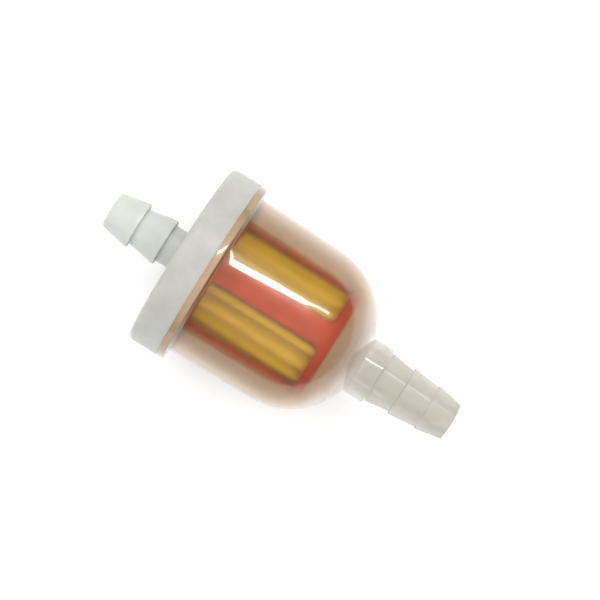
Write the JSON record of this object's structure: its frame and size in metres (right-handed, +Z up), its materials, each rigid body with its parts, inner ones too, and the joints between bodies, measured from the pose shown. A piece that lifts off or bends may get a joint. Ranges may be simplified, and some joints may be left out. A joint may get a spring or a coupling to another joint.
{
  "type": "fuel filter",
  "caption": "Small in-line fuel filter: clear domed bowl and milky cap with barbed hose spigots, and a red cage holding yellow pleated paper inside.",
  "frame": {"origin": "on the fuel line's axis, midway between the two spigot tips", "axes": "+X along the fuel line from the cap's spigot to the bowl's spigot, +Z up, +Y to the side"},
  "size_m": [0.0644, 0.032, 0.032],
  "materials": {
    "milky_plastic": "milky translucent nylon, satin as moulded",
    "clear_plastic": "clear nylon with a light smoky haze, glossy outside",
    "red_plastic": "red moulded plastic, semi-gloss",
    "pleated_paper": "yellow resin-treated filter paper, fibrous and matt",
    "glue": "set glue, slightly waxy"
  },
  "bodies": {
    "root": {"cap": "milky_plastic", "bowl": "clear_plastic", "cage": "red_plastic", "filter_paper": "pleated_paper", "cap_end_glue": "glue", "closed_end_glue": "glue", "seam_glue": "glue"}
  },
  "joints": []
}
